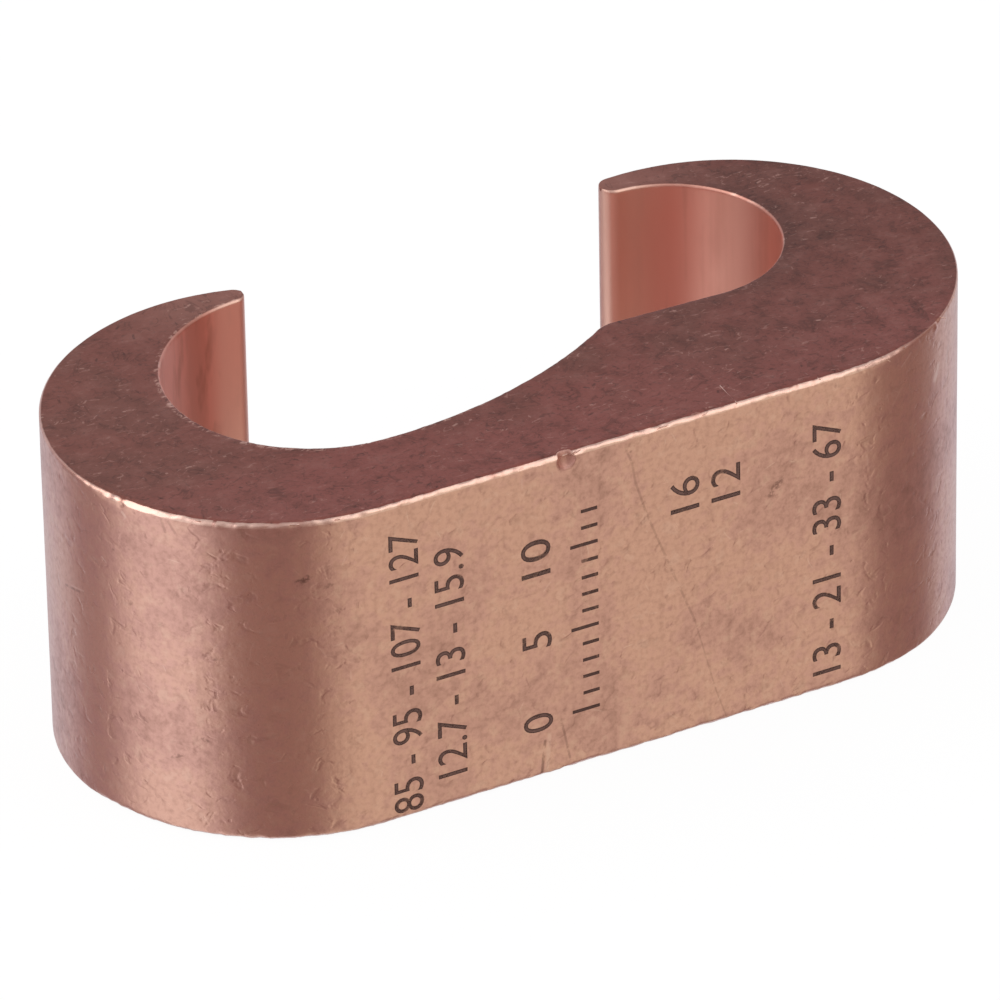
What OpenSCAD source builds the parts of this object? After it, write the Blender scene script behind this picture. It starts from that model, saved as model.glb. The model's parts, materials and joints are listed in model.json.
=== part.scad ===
// Compression ground connector: one piece of solid copper, cut from an extruded bar.
// It stands on one of its two cut faces. X runs along its length, Y from the flat
// front face to the open back, and Z along the conductors. The origin is at the
// centre of the lower cut face. Millimetres.

/* [Body] */
// Length from end to end
body_l = 51; // [42:0.5:70]
// Depth from the flat front face to the back of the arms
body_w = 24; // [20:0.5:32]
// Height, which is the length of bar cut off
body_h = 19.1; // [10:0.1:50]
// Width of the edge break that deburring leaves round both cut faces
edge_break = 0.2; // [0.1:0.05:0.5]

/* [Run groove] */
// Radius of the groove for the main conductor or the ground rod
run_r = 8.05; // [6:0.05:9.7]
// Thickness of the end wall beside the run groove
run_end_wall = 7.65; // [5:0.05:10]
// Radius of the rounded tip of the run groove's arm
run_tip_r = 0.66; // [0.55:0.01:1.2]

/* [Tap groove] */
// Radius of the groove for the branch conductor
tap_r = 6; // [4:0.05:7.2]
// Thickness of the end wall beside the tap groove
tap_end_wall = 7.2; // [5:0.05:10]
// Radius of the rounded tip of the tap groove's arm
tap_tip_r = 0.77; // [0.55:0.01:1.2]
// Angle at which the floor rises from the tap groove to the nose
tap_floor_rise = 1.5; // [0:0.5:6]

/* [Mouth] */
// Angle that each arm wraps round its groove, from the end wall to the tip
arm_wrap = 87; // [70:1:100]
// Place of the nose between the centres of the grooves, as a share of the way to the tap
nose_place = 0.675; // [0.6:0.005:0.75]
// Width of the flat that blunts the nose
nose_flat = 0.8; // [0.3:0.1:2]

/* [Hidden] */
$fn = 128;
copper = [0.72, 0.46, 0.37];

// How far the cutting shapes run past the faces that they cut
overcut = 1;
// How far an arc or a line runs into its neighbour, where the two blend
blend = 0.005;

end_r = body_w / 2;
run_end = [end_r - body_l / 2, 0];
tap_end = [body_l / 2 - end_r, 0];

function toward(angle) = [cos(angle), sin(angle)];

// The rounded tip touches the outer end arc and its groove, and its centre lies on
// the ray at the given angle from the groove's centre. That fixes the groove's depth.
function groove_y(end, x, r, tip_r, angle) =
    let (across = x - end[0] + (r + tip_r) * cos(angle))
    sqrt(pow(end_r - tip_r, 2) - pow(across, 2)) - (r + tip_r) * sin(angle);

run_angle = 180 - arm_wrap;
run_x = run_end_wall + run_r - body_l / 2;
run_centre = [run_x, groove_y(run_end, run_x, run_r, run_tip_r, run_angle)];
run_tip = run_centre + (run_r + run_tip_r) * toward(run_angle);

tap_angle = arm_wrap;
tap_x = body_l / 2 - tap_end_wall - tap_r;
tap_centre = [tap_x, groove_y(tap_end, tap_x, tap_r, tap_tip_r, tap_angle)];
tap_tip = tap_centre + (tap_r + tap_tip_r) * toward(tap_angle);

// The floor blends out of the tap groove and rises to the nose. The ramp is the arc that
// blends out of the bottom of the run groove and ends at the nose.
floor_start = tap_centre + (tap_r - blend) * toward(-90 - tap_floor_rise);
nose_x = run_x + nose_place * (tap_x - run_x);
floor_l = (floor_start[0] - nose_x) / cos(tap_floor_rise);
nose = floor_start + floor_l * toward(180 - tap_floor_rise);
ramp_start = run_centre + [0, blend - run_r];
ramp_way = nose - ramp_start;
ramp_r = ramp_way * ramp_way / (2 * ramp_way[1]);
ramp_centre = ramp_start + [0, ramp_r];
ramp_sweep = atan2(ramp_way[0], ramp_r - ramp_way[1]);
nose_turn = ramp_sweep + tap_floor_rise;

// Half section of a round solid, with its edges broken at both cut faces
module round_section(r) {
    polygon([
        [0, 0], [r - edge_break, 0], [r, edge_break],
        [r, body_h - edge_break], [r - edge_break, body_h], [0, body_h]
    ]);
}

// Section of a cut, from the wall that it leaves to the far side of its space. The wall
// flares at both cut faces, which breaks the edges there.
module cut_section(wall, far) {
    flare = sign(wall - far) * (edge_break + overcut);
    polygon([
        [wall + flare, -overcut], [wall, edge_break],
        [wall, body_h - edge_break], [wall + flare, body_h + overcut],
        [far, body_h + overcut], [far, -overcut]
    ]);
}

// Round groove with its edges broken, revolved from the side that faces the mouth
module groove(r, mouth_side) {
    rotate_extrude(angle = 360, start = mouth_side)
        cut_section(r, 0);
}

// Sector of a round cut with its edges broken, revolved from its lowest line
module sector_cut(r, space, sweep) {
    rotate_extrude(angle = sweep, start = -90)
        cut_section(r, max(0, r - space));
}

// Straight cut along X, with its wall at Y = 0 and its edges broken
module straight_cut(length, space) {
    rotate([90, 0, 90])
        linear_extrude(length)
            cut_section(0, space);
}

// Block that the grooves are cut from: two round ends, whose arcs run on over the
// arms, and a bar between them that carries the flat front face
module outer_block() {
    bar_top = max(0, nose[1] + overcut);
    translate(tap_end)
        rotate_extrude(angle = 270, start = -90)
            round_section(end_r);
    translate(run_end)
        rotate_extrude(angle = 270)
            round_section(end_r);
    translate(run_end)
        rotate([90, 0, 90])
            linear_extrude(tap_end[0] - run_end[0])
                polygon([
                    [edge_break - end_r, 0], [bar_top, 0], [bar_top, body_h],
                    [edge_break - end_r, body_h], [-end_r, body_h - edge_break], [-end_r, edge_break]
                ]);
}

// Space between the tips of the two arms, through which the conductors are laid in. It
// narrows to the nose, and its lower corners lie in the space of the grooves.
module mouth() {
    run_out = run_end + (end_r + overcut) * (run_tip - run_end) / (end_r - run_tip_r);
    tap_out = tap_end + (end_r + overcut) * (tap_tip - tap_end) / (end_r - tap_tip_r);
    translate([0, 0, -overcut])
        linear_extrude(body_h + 2 * overcut)
            polygon([
                run_tip, run_centre, run_centre - [0, run_r / 2], nose + [0, overcut / 10],
                tap_centre - [0, tap_r / 2], tap_centre, tap_tip, tap_out, run_out
            ]);
}

// Rounded ramp that rises out of the run groove, and flat floor that rises out of the tap
// groove. They cross at the nose.
module ramp_and_floor() {
    translate(ramp_centre)
        sector_cut(ramp_r, 0.75 * run_r, ramp_sweep + atan(overcut / ramp_r));
    translate(nose)
        rotate(-tap_floor_rise)
            translate([-overcut, 0])
                straight_cut(floor_l + overcut, 0.75 * tap_r);
}

// Cut that blunts the nose, square to the line that halves its corner
module nose_cut() {
    translate(nose)
        rotate(-tap_floor_rise)
            translate([nose_flat / (2 * cos(nose_turn / 2)), 0])
                rotate(nose_turn / 2)
                    translate([-nose_flat - overcut, 0])
                        straight_cut(nose_flat + 2 * overcut, overcut);
}

// Bar with both grooves and the mouth cut through it
module grooved_bar() {
    difference() {
        outer_block();
        translate(run_centre)
            groove(run_r, 0);
        translate(tap_centre)
            groove(tap_r, 180);
        ramp_and_floor();
        mouth();
    }
}

// Rounded end of an arm
module arm_tip(place, r) {
    translate(place)
        rotate_extrude()
            round_section(r + blend);
}

module connector_body() {
    color(copper) {
        difference() {
            grooved_bar();
            nose_cut();
        }
        arm_tip(run_tip, run_tip_r);
        arm_tip(tap_tip, tap_tip_r);
    }
}

connector_body();
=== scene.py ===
"""Looks of a compression ground connector: a worn copper body with printed numbers, on a plain stage."""

import json
import math

import bmesh
import bpy
from mathutils import Matrix, Vector


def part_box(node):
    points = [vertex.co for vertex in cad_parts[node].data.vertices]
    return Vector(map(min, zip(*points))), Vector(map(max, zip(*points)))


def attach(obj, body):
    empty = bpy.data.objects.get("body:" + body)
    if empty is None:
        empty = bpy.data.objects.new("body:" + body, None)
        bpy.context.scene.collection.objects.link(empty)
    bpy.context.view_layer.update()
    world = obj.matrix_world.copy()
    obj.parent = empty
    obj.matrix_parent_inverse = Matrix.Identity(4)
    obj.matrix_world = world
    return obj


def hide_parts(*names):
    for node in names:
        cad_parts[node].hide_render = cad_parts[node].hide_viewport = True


bl_info = {
    "name": "Compression Ground Connector",
    "version": (1, 0, 0),
    "blender": (4, 5, 0),
    "location": "3D View > Sidebar > Connector",
    "description": "Builds the connector's worn body, its print and its stage round the packed model",
    "category": "Object",
}

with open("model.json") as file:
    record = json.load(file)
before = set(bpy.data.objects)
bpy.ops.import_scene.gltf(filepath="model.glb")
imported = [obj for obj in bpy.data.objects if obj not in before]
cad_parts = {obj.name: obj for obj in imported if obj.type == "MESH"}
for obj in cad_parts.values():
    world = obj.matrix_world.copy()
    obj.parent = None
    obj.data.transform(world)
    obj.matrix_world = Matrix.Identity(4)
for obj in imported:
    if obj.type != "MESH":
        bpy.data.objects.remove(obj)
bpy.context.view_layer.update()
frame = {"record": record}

NODE = "connector_body"
BODY = "root"
MM = 0.001
LOW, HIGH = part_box(NODE)
_, DEPTH, HEIGHT = HIGH - LOW
FRONT = LOW.y
MOUNTS = {mount["name"]: mount for mount in frame["record"]["mounts"]}
# Points nearer to each other than this are one, in metres
MERGE = 1e-7
# Dent in the front's upper edge: centre and radius of the two balls that would press it, in millimetres
FRONT_DENT = (-2.75, -12.25, 18.72), 0.60
FRONT_DENT_TOP = (-2.75, -12.15, 19.25), 0.60


def groove_of(name):
    """Centre and radius of a groove, in metres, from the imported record."""
    mount = MOUNTS[name]
    return Vector(mount["pos_m"][:2]), mount["dims"]["r_mm"] * MM


# Properties


def length_property(name, description, millimetres):
    return bpy.props.FloatProperty(
        name=name, description=description, default=millimetres * MM, min=0, precision=6, unit="LENGTH")


def color_property(name, description, color):
    return bpy.props.FloatVectorProperty(
        name=name, description=description, default=color, size=3, min=0, max=1, subtype="COLOR")


class ConnectorShape(bpy.types.PropertyGroup):
    """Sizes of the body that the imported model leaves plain."""

    edge_round: length_property("Edge Round", "Width of the worn outer edges of the cut faces", 0.25)
    groove_edge_round: length_property("Groove Edge Round", "Width of the edges along the grooves", 0.15)
    run_tip_round: length_property("Run Tip Round", "Radius of the tip of the run groove's arm", 0.66)
    tap_tip_round: length_property("Tap Tip Round", "Radius of the tip of the tap groove's arm", 0.77)
    nose_place: bpy.props.FloatProperty(
        name="Nose Place", description="Place of the nose on the way from the run groove to the tap groove",
        default=0.675, min=0.5, max=0.85, subtype="FACTOR")
    nose_blend: length_property("Nose Blend", "Height over which the nose is rounded", 0.35)
    floor_rise: bpy.props.FloatProperty(
        name="Floor Rise", description="Angle at which the floor rises from the tap groove to the nose",
        default=math.radians(1.5), subtype="ANGLE")
    column_step: length_property("Column Step", "Width of one column of faces along the outer wall", 0.14)
    skin_wave: length_property("Skin Wave", "Depth of the slow waves in the drawn skin", 0.014)
    edge_wear: length_property("Edge Wear", "Depth to which handling has worn the edges", 0.10)
    burr_count: bpy.props.IntProperty(
        name="Burr Places", description="Places round the edges where a burr may hang", default=240, min=2)
    burr_share: bpy.props.FloatProperty(
        name="Burr Share", description="Share of those places that hold a burr",
        default=0.06, min=0, max=1, subtype="FACTOR")
    burr_length: length_property("Burr Length", "Length of the longest burrs", 0.55)
    burr_thickness: length_property("Burr Thickness", "Half thickness of a burr", 0.03)
    seed: bpy.props.IntProperty(name="Seed", description="Seed of the wear and the burrs", default=7)


class ConnectorFinish(bpy.types.PropertyGroup):
    """Colours of the copper and the ink."""

    wall_color: color_property("Drawn Wall", "Skin of the outer walls", (0.755, 0.442, 0.350))
    wall_tarnish: color_property("Wall Tarnish", "Grayer tarnish on the walls", (0.44, 0.245, 0.195))
    wall_rose: color_property("Rose Wall", "Rosier skin in places of the walls", (0.750, 0.428, 0.362))
    groove_color: color_property("Groove Wall", "Redder skin of the grooves", (0.82, 0.415, 0.335))
    # The streak colour also paints shade on the end wall of the tap groove
    groove_streak_and_shade: color_property("Groove Streaks", "Darker streaks of the grooves", (0.47, 0.224, 0.173))
    cut_color: color_property("Cut Face", "Dull brown of the two cut faces", (0.275, 0.100, 0.077))
    cut_gray: color_property("Cut Face Gray", "Grayer brown in places", (0.248, 0.098, 0.075))
    cut_red: color_property("Cut Face Red", "Redder brown towards the front", (0.345, 0.120, 0.098))
    # The stain colour also paints shade in the walls' dents
    cut_dark: color_property("Stain", "Dark stain in pits and creases", (0.115, 0.055, 0.046))
    bright_color: color_property("Fresh Copper", "Fresh metal of edges and scratches", (0.90, 0.63, 0.53))
    ink_color: color_property("Ink", "Dark marking ink", (0.088, 0.042, 0.033))
    ink_faded: color_property("Faded Ink", "Thinner ink in the middle of a stroke", (0.205, 0.106, 0.083))


class ConnectorPrint(bpy.types.PropertyGroup):
    """Sizes of the print on the front face."""

    figure_height: length_property("Figure Height", "Height of the printed figures", 1.72)
    ink_depth: length_property("Ink Depth", "Thickness of the ink, most of it sunk in the skin", 0.034)
    tick_count: bpy.props.IntProperty(
        name="Ticks", description="Number of ticks on the strip scale", default=13, min=2)
    tick_pitch: length_property("Tick Pitch", "Distance from one tick to the next", 1.0)
    tick_length: length_property("Tick Length", "Length of the short ticks", 0.95)
    long_tick_length: length_property("Long Tick Length", "Length of every fifth tick", 1.6)
    tick_width: length_property("Tick Width", "Width of a tick", 0.19)


class ConnectorStage(bpy.types.PropertyGroup):
    """Floor and lights."""

    floor_radius: bpy.props.FloatProperty(
        name="Floor Radius", description="Radius of the round floor", default=1.2, min=0.1, unit="LENGTH")
    floor_color: color_property("Floor", "Pale colour of the floor", (0.9, 0.9, 0.9))
    key_power: bpy.props.FloatProperty(
        name="Key Light", description="Power of the front soft box, in watts", default=0.39, min=0)
    side_power: bpy.props.FloatProperty(
        name="Side Light", description="Power of the left soft box, in watts", default=0.59, min=0)


# Node trees


class Wire:
    """Output of a node, with arithmetic that adds the Math nodes it needs."""

    def __init__(self, bench, node, output=0):
        self.bench = bench
        self.node = node
        self.output = output

    def __getitem__(self, output):
        return Wire(self.bench, self.node, output)

    @property
    def socket(self):
        return self.node.outputs[self.output]

    def math(self, operation, *others):
        return self.bench.math(operation, self, *others)

    def __add__(self, other):
        return self.math("ADD", other)

    __radd__ = __add__

    def __sub__(self, other):
        return self.math("SUBTRACT", other)

    def __rsub__(self, other):
        return self.bench.math("SUBTRACT", other, self)

    def __mul__(self, other):
        return self.math("MULTIPLY", other)

    __rmul__ = __mul__

    def __truediv__(self, other):
        return self.math("DIVIDE", other)

    def __rtruediv__(self, other):
        return self.bench.math("DIVIDE", other, self)

    def __abs__(self):
        return self.math("ABSOLUTE")


class Bench:
    """A node tree that is being built, for materials and for geometry alike."""

    def __init__(self, tree):
        self.tree = tree

    def node(self, kind, settings=None, sockets=None):
        """Adds a node: its settings first, then the values or links of its sockets."""
        made = self.tree.nodes.new(kind)
        for key, value in (settings or {}).items():
            setattr(made, key, value)
        for key, value in (sockets or {}).items():
            if isinstance(value, Wire):
                self.tree.links.new(value.socket, made.inputs[key])
            else:
                made.inputs[key].default_value = value
        return Wire(self, made)

    def math(self, operation, *values):
        return self.node("ShaderNodeMath", {"operation": operation}, dict(enumerate(values)))

    def vector_math(self, operation, *values):
        return self.node("ShaderNodeVectorMath", {"operation": operation}, dict(enumerate(values)))

    def scale(self, vector, factor):
        return self.node("ShaderNodeVectorMath", {"operation": "SCALE"}, {0: vector, "Scale": factor})

    def vector(self, x, y, z=0.0):
        return self.node("ShaderNodeCombineXYZ", None, {0: x, 1: y, 2: z})

    def parts(self, vector):
        split = self.node("ShaderNodeSeparateXYZ", None, {0: vector})
        return split[0], split[1], split[2]

    def smooth(self, value, start, end, low=0.0, high=1.0):
        """Eases from low to high as the value goes from start to end."""
        return self.node(
            "ShaderNodeMapRange", {"interpolation_type": "SMOOTHSTEP"},
            {0: value, 1: start, 2: end, 3: low, 4: high})

    def mix(self, factor, a, b):
        """Mixes two colours."""
        a, b = (c if isinstance(c, Wire) else (*c, 1.0) for c in (a, b))
        return self.node("ShaderNodeMix", {"data_type": "RGBA"}, {0: factor, 6: a, 7: b})[2]

    def blend(self, factor, a, b):
        """Mixes two shaders."""
        return self.node("ShaderNodeMixShader", None, {0: factor, 1: a, 2: b})

    def attribute(self, name, kind="FLOAT"):
        """Value that the geometry keeps under a name."""
        return self.node("GeometryNodeInputNamedAttribute", {"data_type": kind}, {"Name": name})

    def store(self, geometry, name, value):
        """Geometry that keeps a value at each point under a name."""
        return self.node(
            "GeometryNodeStoreNamedAttribute", {"data_type": "FLOAT", "domain": "POINT"},
            {"Geometry": geometry, "Name": name, "Value": value})

    def noise(self, vector, scale, detail=2.0, roughness=0.5, distortion=0.0, dimensions="2D"):
        return self.node(
            "ShaderNodeTexNoise", {"noise_dimensions": dimensions},
            {"Vector": vector, "Scale": scale, "Detail": detail, "Roughness": roughness,
             "Distortion": distortion})

    def scratches(self, u, v, density, angle, spread, length, width, share):
        """Short bowed scratches, one in each cell of a flat pattern, of which a share is kept."""
        place = self.vector(u * density, v * density)
        cell = self.node(
            "ShaderNodeTexVoronoi", {"voronoi_dimensions": "2D"},
            {"Vector": place, "Scale": 1.0, "Randomness": 1.0})
        du, dv, _ = self.parts(self.vector_math("SUBTRACT", place, cell["Position"]))
        turn, keep, size = self.parts(cell["Color"])
        turn = (turn - 0.5) * spread + angle
        sine, cosine = turn.math("SINE"), turn.math("COSINE")
        along = abs(du * cosine + dv * sine)
        across = abs(dv * cosine - du * sine + along * along * (size - 0.5))
        reach = (size * 0.8 + 0.2) * length
        line = self.smooth(across, width, width * 0.3) * self.smooth(along / reach, 1.0, 0.5)
        return line * self.smooth(keep, 1.0 - share, 1.0 - share * 0.5)

    def turned(self, u, v, centre, turn):
        """Place in a frame that is turned about a centre."""
        c, s = math.cos(turn), math.sin(turn)
        a = u.math("MULTIPLY_ADD", c, v.math("MULTIPLY_ADD", s, -centre[0] * c - centre[1] * s))
        b = v.math("MULTIPLY_ADD", c, u.math("MULTIPLY_ADD", -s, centre[0] * s - centre[1] * c))
        return a, b

    def stroke(self, u, v, points, width):
        """Soft line through points of a flat pattern."""
        lines = []
        for (ax, ay), (bx, by) in zip(points, points[1:]):
            half = math.hypot(bx - ax, by - ay) / 2
            along, across = self.turned(
                u, v, ((ax + bx) / 2, (ay + by) / 2), math.atan2(by - ay, bx - ax))
            line = self.smooth(abs(across), width, width * 0.3)
            lines.append(line * self.smooth(abs(along), half + width, half))
        return self.most(lines)

    def spot(self, u, v, centre, radii, turn):
        """Soft oval spot, turned from the first axis by an angle in degrees."""
        a, b = self.turned(u, v, centre, math.radians(turn))
        a, b = a / radii[0], b / radii[1]
        return self.smooth(a.math("MULTIPLY_ADD", a, b * b), 1.0, 0.15)

    def most(self, marks):
        """Strongest of several marks at a place."""
        found = None
        for mark in marks:
            found = mark if found is None else found.math("MAXIMUM", mark)
        return found


def new_tree(name, inputs):
    """Geometry tree with the named inputs, its bench, and its group input."""
    tree = bpy.data.node_groups.new(name, "GeometryNodeTree")
    tree.interface.new_socket("Geometry", in_out="INPUT", socket_type="NodeSocketGeometry")
    tree.interface.new_socket("Geometry", in_out="OUTPUT", socket_type="NodeSocketGeometry")
    for label, kind in inputs.items():
        tree.interface.new_socket(label, in_out="INPUT", socket_type="NodeSocket" + kind)
    bench = Bench(tree)
    return tree, bench, bench.node("NodeGroupInput")


def end_tree(bench, geometry, finish):
    """Ends a geometry tree: real geometry with its material."""
    real = bench.node("GeometryNodeRealizeInstances", None, {0: geometry})
    done = bench.node("GeometryNodeSetMaterial", None, {"Geometry": real, "Material": finish})
    bench.node("NodeGroupOutput", None, {0: done})


def link(obj):
    bpy.context.scene.collection.objects.link(obj)
    return obj


def run_tree(name, guide, tree, values):
    """Runs a geometry tree on a guide mesh, and returns the result as a plain object at the origin."""
    holder = link(bpy.data.objects.new(name + "_guide", guide))
    modifier = holder.modifiers.new("Build", "NODES")
    modifier.node_group = tree
    for item in tree.interface.items_tree:
        if item.in_out == "INPUT" and item.name in values:
            modifier[item.identifier] = values[item.name]
    depsgraph = bpy.context.evaluated_depsgraph_get()
    mesh = bpy.data.meshes.new_from_object(
        holder.evaluated_get(depsgraph), preserve_all_data_layers=True, depsgraph=depsgraph)
    bpy.data.objects.remove(holder)
    if not mesh.polygons:
        raise RuntimeError(f"{name}: the tree made no faces")
    mesh.name = name
    return link(bpy.data.objects.new(name, mesh))


def guide_mesh(name, points, edges=()):
    mesh = bpy.data.meshes.new(name)
    mesh.from_pydata([tuple(p) for p in points], list(edges), [])
    return mesh


def place(piece, slot):
    """A finished piece rides on the body. The slot is not used."""
    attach(piece, BODY)


# Profile


def angle_to(a, b):
    return math.atan2(b.y - a.y, b.x - a.x)


def arc(centre, radius, start, end, count):
    turns = [start + (end - start) * k / (count - 1) for k in range(count)]
    return [centre + radius * Vector((math.cos(t), math.sin(t))) for t in turns]


def tip_centre(end, end_r, groove, groove_r, tip_r):
    """Centre of an arm's tip, which touches the end's arc from inside and the groove from outside."""
    a, b = end_r - tip_r, groove_r + tip_r
    way = groove - end
    along = (way.length_squared + a * a - b * b) / (2 * way.length)
    side = math.sqrt(a * a - along * along)
    ahead = way.normalized()
    places = [end + along * ahead + side * turn * Vector((-ahead.y, ahead.x)) for turn in (1, -1)]
    return max(places, key=lambda p: p.y)


def edges_of_profile(shape):
    """Outer and inner edge of the section, from the run arm's tip to the tap arm's tip, point by point."""
    end_r = DEPTH / 2
    run_end = Vector((LOW.x + end_r, LOW.y + end_r))
    tap_end = Vector((HIGH.x - end_r, LOW.y + end_r))
    run, run_r = groove_of("run_groove")
    tap, tap_r = groove_of("tap_groove")
    run_tip = tip_centre(run_end, end_r, run, run_r, shape.run_tip_round)
    tap_tip = tip_centre(tap_end, end_r, tap, tap_r, shape.tap_tip_round)

    run_out = angle_to(run_end, run_tip)
    run_in = angle_to(run_tip, run)
    tap_out = angle_to(tap_end, tap_tip)
    tap_in = angle_to(tap_tip, tap) + 2 * math.pi
    run_mid, tap_mid = (run_out + run_in) / 2, (tap_out + tap_in) / 2

    tip_n = 10
    left_n = round(end_r * (1.5 * math.pi - run_out) / shape.column_step)
    right_n = round(end_r * (0.5 * math.pi + tap_out) / shape.column_step)
    front_n = round((tap_end.x - run_end.x) / shape.column_step)
    down = -0.5 * math.pi
    floor_turn = down - shape.floor_rise
    floor_start = tap + tap_r * Vector((math.cos(floor_turn), math.sin(floor_turn)))
    nose_x = run.x + shape.nose_place * (tap.x - run.x)

    def floor_y(x):
        return floor_start.y + (floor_start.x - x) * math.tan(shape.floor_rise)

    ramp_rise = floor_y(nose_x) - (run.y - run_r)
    ramp_r = ((nose_x - run.x) ** 2 + ramp_rise ** 2) / (2 * ramp_rise)

    def back_y(x):
        """Lower of the ramp and the floor, rounded where they meet at the nose."""
        ramp_y = run.y - run_r + ramp_r - math.sqrt(ramp_r ** 2 - (x - run.x) ** 2)
        near = max(0.0, 1 - abs(ramp_y - floor_y(x)) / shape.nose_blend)
        return min(ramp_y, floor_y(x)) - near * near * shape.nose_blend / 4

    shares = [k / (front_n - 1) for k in range(1, front_n)]
    # Closer columns at the dent, and one past it on each side
    dent, ball, dent_n = FRONT_DENT[0][0] * MM, FRONT_DENT[1] * MM, 9
    dent_xs = [dent + ball * k / dent_n for k in range(-dent_n - 1, dent_n + 2)]
    shares += [(x - run_end.x) / (tap_end.x - run_end.x) for x in dent_xs]
    shares.sort()
    backs = [run.x + s * (floor_start.x - run.x) for s in shares]
    outer = (
        arc(run_tip, shape.run_tip_round, run_mid, run_out, tip_n)
        + arc(run_end, end_r, run_out, 1.5 * math.pi, left_n)[1:]
        + [Vector((run_end.x + s * (tap_end.x - run_end.x), FRONT)) for s in shares]
        + arc(tap_end, end_r, down, tap_out, right_n)[1:]
        + arc(tap_tip, shape.tap_tip_round, tap_out, tap_mid, tip_n)[1:])
    inner = (
        arc(run_tip, shape.run_tip_round, run_mid, run_in, tip_n)
        + arc(run, run_r, run_in + math.pi, 1.5 * math.pi, left_n)[1:]
        + [Vector((x, back_y(x))) for x in backs]
        + arc(tap, tap_r, floor_turn, tap_in - math.pi, right_n)[1:]
        + arc(tap_tip, shape.tap_tip_round, tap_in, tap_mid, tip_n)[1:])
    return outer, inner


def lengths_along(edge):
    """Way along an edge to each of its points, counted from the middle of the part's length."""
    ways = [0.0]
    for a, b in zip(edge, edge[1:]):
        ways.append(ways[-1] + (b - a).length)
    low_half = [k for k, p in enumerate(edge) if p.y < 0]
    middle = min(low_half, key=lambda k: abs(edge[k].x))
    return [way - ways[middle] + edge[middle].x for way in ways]


def bar_section(shape):
    """Ring of points round the bar: share of the way from the outer to the inner edge, inset, height.

    With each point go the strength of the cut face, the strength of the edge, and the height that the
    point has at the arms' tips, where the outer and the inner wall meet level by level."""
    h = HEIGHT
    rounds = {0.0: shape.edge_round, 1.0: shape.groove_edge_round}
    tip_round = shape.groove_edge_round
    # Height of wall, and share of a cut face, over which an edge fades out
    wall_fade, face_fade = 0.15 * MM, 0.014
    steps = (0, 0.006, 0.012, 0.019, 0.026, 0.034, 0.044, 0.06, 0.085, 0.12, 0.17, 0.24, 0.33, 0.42)
    steps = steps + (0.5,) + tuple(1 - s for s in reversed(steps))
    face = (0, 0.015, 0.04, 0.075, 0.12, 0.19, 0.28, 0.39)
    face = face + (0.5,) + tuple(1 - s for s in reversed(face))
    bend = [0.5 * math.pi * k / 6 for k in range(1, 6)]

    def up_wall(share):
        wall, r = [], rounds[share]
        for s in steps:
            z, tip = (q + (h - 2 * q) * s for q in (r, tip_round))
            wall.append((share, 0.0, z, 0.0, max(0.0, 1 - (min(z, h - z) - r) / wall_fade), tip))
        return wall

    def round_corner(share, upper, rising):
        ring, r = [], rounds[share]
        for t in bend if rising else reversed(bend):
            # Flatter than a round, as a worn edge break is
            inset, rise = (1 - f(t) ** 1.5 for f in (math.cos, math.sin))
            z, tip = (h - q * rise if upper else q * rise for q in (r, tip_round))
            ring.append((share, r * inset, z, t / (0.5 * math.pi), 1.0, tip))
        return ring

    def across(shares, z):
        return [
            (s, rounds[float(s > 0.5)], z, 1.0, max(0.0, 1 - min(s, 1 - s) / face_fade), z)
            for s in shares]

    ring = up_wall(0.0) + round_corner(0.0, True, True)
    ring += across(face, h) + round_corner(1.0, True, False)
    ring += up_wall(1.0)[::-1] + round_corner(1.0, False, True)
    ring += across(reversed(face), 0.0) + round_corner(0.0, False, False)
    return ring + ring[:1]


# Materials


def new_material(name):
    material = bpy.data.materials.new(name)
    material.use_nodes = True
    material.node_tree.nodes.clear()
    return material, Bench(material.node_tree)


# Marks of the outer walls, by the way along the wall and the height, in millimetres
# Creases: points, half width and strength
CREASES = (
    (((0.69, 18.4), (1.06, 17.4), (1.25, 16.2), (1.85, 14.2), (3.35, 10.2), (4.66, 6.8)), 0.10, 0.25),
    (((4.66, 6.8), (5.9, 2.1), (6.6, 0.0)), 0.07, 0.20),
    (((1.42, 18.8), (0.96, 18.1)), 0.10, 0.28),
    (((-4.24, 2.2), (-4.36, 1.2), (-4.47, 0.1)), 0.12, 0.50),
    (((-3.30, 3.2), (-3.10, 2.3), (-2.80, 0.7)), 0.10, 0.34),
    (((-27.58, 19.1), (-27.55, 18.7)), 0.10, 0.60),
    (((-25.03, 18.7), (-24.82, 18.0)), 0.12, 0.22),
    (((-24.63, 18.7), (-24.26, 18.1)), 0.12, 0.22),
    (((-32.6, 11.66), (-31.1, 12.02)), 0.10, 0.34),
)
# Rubs that show fresh metal: ends, half width and strength
RUBS = (
    (((-3.98, 2.5), (-4.17, 0.2)), 0.17, 0.28),
    (((-29.04, 15.1), (-28.72, 14.9)), 0.08, 0.60),
    (((-31.9, 11.98), (-30.7, 12.26)), 0.08, 0.50),
    (((-27.44, 18.4), (-27.25, 18.2)), 0.12, 0.60),
    (((20.96, 16.3), (20.63, 15.7)), 0.30, 1.0),
    (((18.21, 18.5), (17.47, 18.0)), 0.09, 0.50),
    (((17.48, 16.7), (16.79, 16.0)), 0.09, 0.28),
)
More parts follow.
